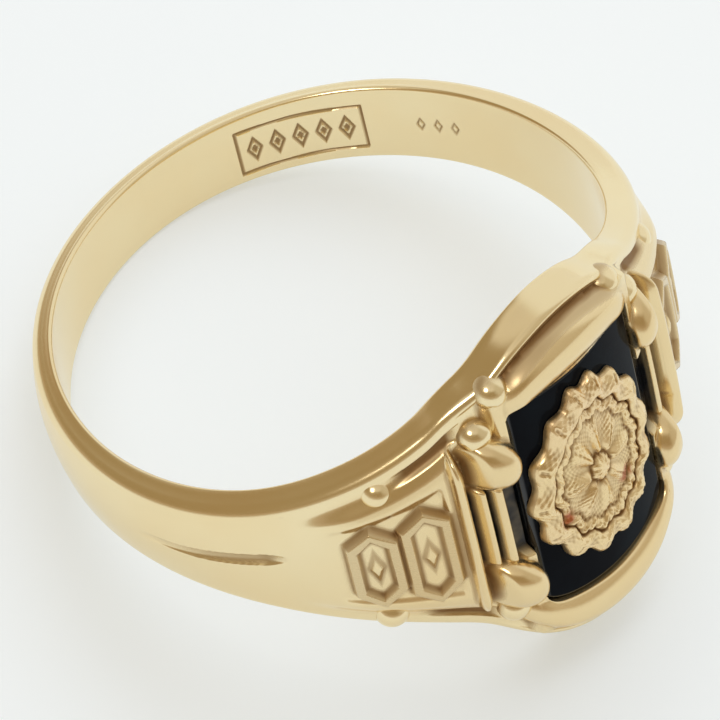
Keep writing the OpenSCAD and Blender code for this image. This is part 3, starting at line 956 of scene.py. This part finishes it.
def floor_finish(name, look):
    """A plain pale card: a little uneven in tone, with a fine paper tooth."""
    f = Finish(name)
    place = f.object_place()
    clouds = f.noise(place, 18.0, 3.0)
    tooth = f.noise(place, 2600.0, 3.0, 0.6)
    shade = tuple(0.985 * v for v in look.floor)
    colour = f.mix(clouds.between(0.3, 0.7), tuple(look.floor), shade)
    rough = 0.6 + tooth * 0.1
    f.set(Base_Color=colour, Roughness=rough, Normal=f.bump(tooth, 0.05, 0.00002))
    f.set(Specular_IOR_Level=0.2, Emission_Color=(*look.glow, 1), Emission_Strength=1.0)
    return f.material


# Operators: one for each group of pieces and one for the studio


class RING_OT_shank(bpy.types.Operator):
    """Builds the shank with its grooves and the engraving in the finger hole."""

    bl_idname = "ring.shank"
    bl_label = "Shank"

    def execute(self, context):
        c = Casting(context.scene)
        gold = gold_material(context.scene)
        end = 360 - BACK_SEAM + OVERLAP
        angles = steps((BACK_SEAM - OVERLAP, 0), (92, 96), (103, 11), (155, 222), (268, 104), (end, 96))
        centre = steps((-1, 0), (-0.4, 14), (0.4, 60), (1, 14))
        seams = [BACK_SEAM, 360 - BACK_SEAM]
        casting_part(c, "gold_shank", angles, seams, centre, 60, gold)
        return {"FINISHED"}


class RING_OT_shoulders(bpy.types.Operator):
    """Builds the two carved shoulders."""

    bl_idname = "ring.shoulders"
    bl_label = "Shoulders"

    def execute(self, context):
        c = Casting(context.scene)
        gold = gold_material(context.scene)
        angles = steps((HEAD_SEAM - OVERLAP, 0), (BACK_SEAM + OVERLAP, 185))
        nodes = np.linspace(-1, 1, 201)
        casting_part(c, "gold_shoulder_far", angles, [HEAD_SEAM, BACK_SEAM], nodes, 12, gold)
        angles = -angles[::-1]
        casting_part(c, "gold_shoulder_near", angles, [-BACK_SEAM, -HEAD_SEAM], nodes, 12, gold)
        return {"FINISHED"}


class RING_OT_head(bpy.types.Operator):
    """Builds the head: end bars, corner lobes, windows and the stone's pocket."""

    bl_idname = "ring.head"
    bl_label = "Head"

    def execute(self, context):
        c = Casting(context.scene)
        gold = gold_material(context.scene)
        half = c.s["pocket_w"] / 2
        shift = c.h["shift"]
        end = c.band_r * math.sin(math.radians(HEAD_SEAM + OVERLAP))
        places = steps(
            (-end, 0), (shift - half, 48), (shift - half + POCKET_GAP, 1),
            (shift + half - POCKET_GAP, 80), (shift + half, 1), (end, 44),
        )
        angles = np.degrees(np.arcsin(places / c.band_r))
        nodes = np.linspace(-1, 1, 2 * HEAD_OUTER_ROWS + HEAD_INNER_ROWS + 2)
        casting_part(c, "gold_head", angles, [-HEAD_SEAM, HEAD_SEAM], nodes, 12, gold)
        return {"FINISHED"}


BEAD_ROWS = 33
BEAD_COLUMNS = 48
# Each bead's rows end this many degrees from its middle, at a small flat cap
BEAD_END = 87


class RING_OT_beads(bpy.types.Operator):
    """Builds the small beads at the corners of the head and the shoulders."""

    bl_idname = "ring.beads"
    bl_label = "Beads"

    def execute(self, context):
        c = Casting(context.scene)
        rows = np.array([[side * a, z, out] for side in (-1, 1) for a, z, out in BEADS])
        turn = np.radians(rows[:, 0])
        outward = np.stack([np.cos(turn), np.sin(turn), 0 * turn], -1)
        centres = outward * rows[:, 2:] + rows[:, 1:2] * np.array([0.0, 0.0, 1.0])
        up = np.radians(np.linspace(-BEAD_END, BEAD_END, BEAD_ROWS))[:, None]
        round_it = np.linspace(0, 2 * np.pi, BEAD_COLUMNS + 1)[:-1]
        level = np.cos(up)
        sides = [level * np.cos(round_it), level * np.sin(round_it), np.sin(up) + 0 * round_it]
        ball = np.stack(sides, -1)
        points = centres[:, None, None] + c.b["bead_r"] * ball
        # Painted shade: the side of each bead turned away from the outside gets the patina colour,
        # standing in for the shade round its foot
        foot = 1 - ease(0.1, 0.6, np.einsum("bk,ijk->bij", outward, ball))
        count, n, m, _ = points.shape
        first = (np.arange(count) * n * m)[:, None]
        quads = (grid_faces(n, m, True).reshape(1, -1) + first).reshape(-1, 4)
        caps = np.concatenate([np.arange(m)[::-1] + first, (n - 1) * m + np.arange(m) + first])
        # The mark on the beads is painted shade at their feet
        layers = {"recess": 0 * foot, "mark": 0.6 * foot, "worn": 0 * foot}
        finish = [gold_material(context.scene), "ring_body", "gold"]
        add_piece("gold_beads", points, quads, caps, layers, finish)
        return {"FINISHED"}


STONE_COLUMNS = 91
STONE_ROWS = 121


class RING_OT_stone(bpy.types.Operator):
    """Builds the black stone with its polished edge."""

    bl_idname = "ring.stone"
    bl_label = "Stone"

    def execute(self, context):
        c = Casting(context.scene)
        s = c.s
        clear = s["clearance"]
        # The outline as rows across the stone, each from its foot to its top
        half = s["pocket_w"] / 2 - clear
        across = half * np.sin(np.radians(np.linspace(-90, 90, STONE_COLUMNS)))
        upward = np.sin(np.radians(np.linspace(-90, 90, STONE_ROWS)))
        y = across[:, None] + 0 * upward
        foot, top = c.pocket_ends(y, clear)
        z = (foot + top) / 2 + (top - foot) / 2 * upward
        away = np.minimum(half - np.abs(y), np.minimum(z - foot, top - z))
        near = np.clip(1 - away / s["bevel"], 0, 1)
        drop = s["bevel"] * (1 - np.sqrt(np.maximum(0, 1 - near**2.2)))
        crown = c.b["bore_r"] + s["stone_rise"]
        x = crown - y * y / (2 * c.h["face_r"]) - drop
        seat = c.b["bore_r"] + s["seat_rise"] + clear
        upper = np.stack([x, y + c.h["shift"], z - c.h["drop"]], -1)
        lower = np.stack([0 * x + seat, y + c.h["shift"], z - c.h["drop"]], -1)
        rows, columns = y.shape
        count = rows * columns
        quads = grid_faces(rows, columns, False).reshape(-1, 4)
        index = np.arange(count).reshape(rows, columns)
        border = np.concatenate([index[0], index[1:, -1], index[-1, -2::-1], index[-2:0:-1, 0]])
        after = np.roll(border, -1)
        skirt = np.stack([border, border + count, after + count, after], -1)
        quads = np.concatenate([quads[:, ::-1], quads + count, skirt[:, ::-1]])
        points = np.concatenate([upper.reshape(-1, 3), lower.reshape(-1, 3)])
        onyx = black_stone_finish("polished black stone", context.scene.ring_finish)
        edge = np.concatenate([near.reshape(-1), 0 * near.reshape(-1)])
        add_piece("black_stone", points, quads, [], {"edge": edge}, [onyx, "stone", "onyx"])
        return {"FINISHED"}


# How much narrower the medallion is towards its upper end, and how deep its scallops are
NARROWING = 0.22
SCALLOP_DEPTH = 0.045
# Its forms, as shares of the way from its middle to its edge, and their heights
RIM_AT = 0.85
RIM_HALF = [0.1, 0.18]
ROPE_AT = 0.68
ROPE_HALF = 0.075
ROPE_RISE = 0.13
PETAL_END = 0.58
EYE_HALF = 0.16
FLOWER_RISE = 0.22
GRAIN_RISE = 0.012
PLATE_SHARE = 0.45
# Its mesh: the small disc left in its middle, how far its side stands out and its height there,
# the rounding of its edge, and turns and depth of its hollows
DISC = 0.012
SIDE_OUT = 1.004
SIDE_RISE = 0.06
EDGE_ROUND = 0.05
MEDALLION_HOLLOW = [60, 0.06]
# Reddish spots on the medallion: place across and along the finger; radii of core and edge
TARNISH_SPOTS = [[0.79, -1.23], [-1.39, -0.99]]
TARNISH_R = [0.12, 0.36]


def medallion_height(q, t, rim, scallops, petals):
    """Heights over the stone as a function of the share of the way out, q, and the angle, t:
    a raised scalloped rim with a vein in each scallop, a twisted ring, a flower whose petals
    have a vein, and a round eye with grains, on a finely grained field."""
    swell = np.cos(scallops * t)
    past = (q - RIM_AT) / RIM_HALF[1]
    edge = np.where(q < RIM_AT, dome((q - RIM_AT) / RIM_HALF[0]), 1 - np.abs(past) ** 1.5)
    edge = 0.75 * rim * edge * (0.82 + 0.18 * swell)
    edge = edge * (1 - 0.28 * within(swell - 1, 0.05, 0.06) * ease(0.84, 0.9, q))
    across = (q - ROPE_AT) / ROPE_HALF
    rope = ROPE_RISE * dome(across) * (0.8 + 0.2 * np.cos(40 * t + 2.6 * across))
    leaf = 0.5 + 0.5 * np.cos(petals * t)
    petal = FLOWER_RISE * dome(q / PETAL_END) * leaf * ease(0.12, 0.26, q)
    vein = within(((petals * t / (2 * np.pi) + 0.5) % 1) - 0.5, 0.035, 0.05)
    petal = petal * (1 - 0.3 * vein * ease(0.18, 0.3, q))
    eye = FLOWER_RISE * dome(q / EYE_HALF) * (0.9 + 0.1 * np.cos(10 * t) * ease(0.03, 0.1, q))
    grain = GRAIN_RISE * np.cos(56 * t) * np.cos(90 * q) * ease(0.2, 0.5, q)
    height = np.zeros_like(q * t)
    for part in (edge, rope, petal, eye):
        height = join(height, part, 0.03)
    return PLATE_SHARE * rim + height + grain


class RING_OT_medallion(bpy.types.Operator):
    """Builds the scalloped medallion on the stone."""

    bl_idname = "ring.medallion"
    bl_label = "Medallion"

    def execute(self, context):
        c = Casting(context.scene)
        m = context.scene.ring_medallion
        wide, rim = m.width / MM, m.rim / MM
        q = steps((DISC, 0), (0.8, 78), (1, 34))[:, None]
        t = np.linspace(0, 2 * np.pi, 421)[:-1]
        rise = medallion_height(q, t, rim, m.scallops, m.petals)
        reach = 1 + SCALLOP_DEPTH * np.cos(m.scallops * t)
        crown = c.b["bore_r"] + c.s["stone_rise"]

        def place(share_out, height, middle):
            up = np.sin(t)
            narrow = 1 - NARROWING * np.maximum(up, 0) ** 2
            y = share_out * reach * wide / 2 * np.cos(t) * narrow
            z = share_out * reach * np.where(up > 0, m.top, m.foot) / MM * up
            x = crown - (y - middle) ** 2 / (2 * c.h["face_r"]) + c.s["clearance"] + height
            return np.stack([x + 0 * y, y + m.side / MM, z - m.low / MM], -1)

        # The top curves round its own middle, the underside round the stone's
        top = place(q, rise, 0)
        top[..., 0] -= EDGE_ROUND * ease(0.97, 1, q) ** 2
        shares = np.array([[SIDE_OUT], [SIDE_OUT], [DISC]])
        under = place(shares, np.array([[SIDE_RISE], [0.0], [0.0]]), c.h["shift"])
        loop = np.concatenate([top, under])
        rows, columns = loop.shape[:2]
        quads = grid_faces(rows, columns, True)[..., ::-1]
        height = loop[..., 0] + (loop[..., 1] - m.side / MM) ** 2 / (2 * c.h["face_r"])
        wrap = 40
        height = np.concatenate([height[:, -wrap:], height, height[:, :wrap]], 1)
        recess = hollows(height, *MEDALLION_HOLLOW)[:, wrap:-wrap]
        recess[len(q) - 2:] = 0.3
        tarnish = np.zeros_like(recess)
        for y, z in TARNISH_SPOTS:
            away = np.hypot(loop[..., 1] - y, loop[..., 2] - z)
            tarnish = np.maximum(tarnish, 1 - ease(*TARNISH_R, away))
        layers = {"recess": recess, "tarnish": tarnish}
        gold = medallion_gold("worn medallion gold", context.scene.ring_finish)
        finish = [gold, "crest", "gold"]
        add_piece("gold_medallion", loop, quads, end_caps(rows, columns), layers, finish)
        return {"FINISHED"}


def gold_material(scene):
    """The polished gold, made once and shared by the casting's parts."""
    found = bpy.data.materials.get("polished gold")
    return found or polished_gold("polished gold", scene.ring_finish)


# The studio: camera, table and soft light

# In the ring's own frame: the camera's place, and where its right and its forward point
CAMERA_PLACE = [102.0, -80.5, 131.4]
CAMERA_RIGHT = [0.741, 0.649, -0.174]
CAMERA_FORWARD = [-0.548, 0.434, -0.715]
# Its lens and its sensor's width, in millimetres
LENS = 350
SENSOR = 36
# How far the picture's middle is set off, in pixels of its 720
SHIFT = 2
PICTURE = 720
# Half the table's side, in metres
TABLE_HALF = 2.0


class RING_OT_camera(bpy.types.Operator):
    """Places the camera at the photograph's angle."""

    bl_idname = "ring.camera"
    bl_label = "Camera"

    def execute(self, context):
        right = np.array(CAMERA_RIGHT) @ RING_AXES
        forward = np.array(CAMERA_FORWARD) @ RING_AXES
        place = lay_down(np.array(CAMERA_PLACE))
        forward = forward / np.linalg.norm(forward)
        right = right - forward * (right @ forward)
        right = right / np.linalg.norm(right)
        up = np.cross(right, forward)
        data = bpy.data.cameras.new("camera")
        data.lens = LENS
        data.sensor_width = SENSOR
        data.shift_x = SHIFT / PICTURE
        data.shift_y = SHIFT / PICTURE
        data.clip_start = 0.01
        data.clip_end = 20
        camera = bpy.data.objects.new("camera", data)
        columns = np.stack([right, up, -forward, place], 1)
        camera.matrix_world = Matrix([*columns.tolist(), [0, 0, 0, 1]])
        context.scene.collection.objects.link(camera)
        context.scene.camera = camera
        return {"FINISHED"}


LIGHTS = [
    # name, place in mm from the ring, size in mm, power in watts, colour, and what it lights:
    # the key lights the table and isn't mirrored, the spark is only seen mirrored in the metal
    ["key panel", (-260, 220, 560), 760, 1.9, (0.85, 0.91, 1.0), "table"],
    ["spark", (10, -300, 345), 140, 0.35, (1.0, 0.98, 0.94), "mirror"],
]


class RING_OT_studio(bpy.types.Operator):
    """Sets out the table, the soft panels and the sky of the studio."""

    bl_idname = "ring.studio"
    bl_label = "Studio"

    def execute(self, context):
        side = TABLE_HALF
        mesh = bpy.data.meshes.new("floor")
        corners = [(-side, -side, 0), (side, -side, 0), (side, side, 0), (-side, side, 0)]
        mesh.from_pydata(corners, [], [(0, 1, 2, 3)])
        floor = bpy.data.objects.new("floor", mesh)
        context.scene.collection.objects.link(floor)
        mesh.materials.append(floor_finish("pale card", context.scene.ring_finish))
        for name, place, size, power, tint, use in LIGHTS:
            data = bpy.data.lights.new(name, "AREA")
            data.shape = "DISK"
            data.size = size * MM
            data.energy = power
            data.color = tint
            light = bpy.data.objects.new(name, data)
            light.visible_glossy = use == "mirror"
            light.visible_diffuse = use == "table"
            light.location = [v * MM for v in place]
            light.rotation_euler = (-Vector(place)).to_track_quat("-Z", "Y").to_euler()
            context.scene.collection.objects.link(light)
        context.scene.world = studio_sky("studio")
        context.scene.view_settings.view_transform = "Standard"
        return {"FINISHED"}


# The room by height above the horizon, from 0 to 1, and its colour there
ROOM = [
    (0.0, (0.54, 0.46, 0.35)), (0.20, (0.47, 0.37, 0.26)), (0.31, (0.37, 0.28, 0.16)),
    (0.67, (0.37, 0.28, 0.16)), (0.80, (0.72, 0.66, 0.57)), (1.0, (0.66, 0.60, 0.52)),
]
# Patches over the room: direction, how far they reach as cosines, and colour. First a paler
# patch in front of the head, then the bright backdrop
PATCHES = [
    [(0.71, 0.41, 0.57), (0.72, 0.95), (0.60, 0.54, 0.44)],
    [(-0.165, 0.936, 0.31), (0.50, 0.66), (0.86, 0.86, 0.84)],
]


def studio_sky(name):
    """The studio as a sky: a dim warm room, and a bright pale backdrop behind the table."""
    world = bpy.data.worlds.new(name)
    sky = Nodes(world)
    place = sky.node("ShaderNodeTexCoord", {}, {})
    height = sky.node("ShaderNodeSeparateXYZ", {}, {0: place}, 2)
    tint = sky.node("ShaderNodeValToRGB", {"stops": ROOM}, {0: height})
    for towards, edge, colour in PATCHES:
        cosine = {0: place, 1: towards}
        reach = sky.node("ShaderNodeVectorMath", {"operation": "DOT_PRODUCT"}, cosine, 1)
        span = {"Value": reach, "From Min": edge[0], "From Max": edge[1]}
        part = sky.node("ShaderNodeMapRange", {"interpolation_type": "SMOOTHSTEP"}, span)
        tint = sky.mix(part, tint, colour)
    light = sky.node("ShaderNodeBackground", {}, {"Color": tint, "Strength": 1.0})
    sky.node("ShaderNodeOutputWorld", {}, {"Surface": light})
    return world


class RING_PT_panel(bpy.types.Panel):
    """Lists the ring's steps and settings in the sidebar."""

    bl_idname = "RING_PT_panel"
    bl_label = "Gold Ring"
    bl_space_type = "VIEW_3D"
    bl_region_type = "UI"
    bl_category = "Ring"

    def draw(self, context):
        for operator in OPERATORS:
            self.layout.operator(operator.bl_idname)
        for key in SETTINGS:
            group = getattr(context.scene, key)
            box = self.layout.box()
            for name in group.__annotations__:
                box.prop(group, name)


SETTINGS = {
    "ring_band": BandSettings,
    "ring_head": HeadSettings,
    "ring_stone": StoneSettings,
    "ring_medallion": MedallionSettings,
    "ring_finish": FinishSettings,
}
OPERATORS = [
    RING_OT_camera,
    RING_OT_shank,
    RING_OT_shoulders,
    RING_OT_head,
    RING_OT_beads,
    RING_OT_stone,
    RING_OT_medallion,
    RING_OT_studio,
]


def register():
    for group in [*SETTINGS.values(), *OPERATORS, RING_PT_panel]:
        bpy.utils.register_class(group)
    for key, group in SETTINGS.items():
        setattr(bpy.types.Scene, key, PointerProperty(type=group))


def unregister():
    for key in SETTINGS:
        delattr(bpy.types.Scene, key)
    for group in [RING_PT_panel, *OPERATORS[::-1], *SETTINGS.values()]:
        bpy.utils.unregister_class(group)


def main():
    register()
    for operator in OPERATORS:
        group, name = operator.bl_idname.split(".")
        getattr(getattr(bpy.ops, group), name)()


if __name__ == "__main__":
    main()
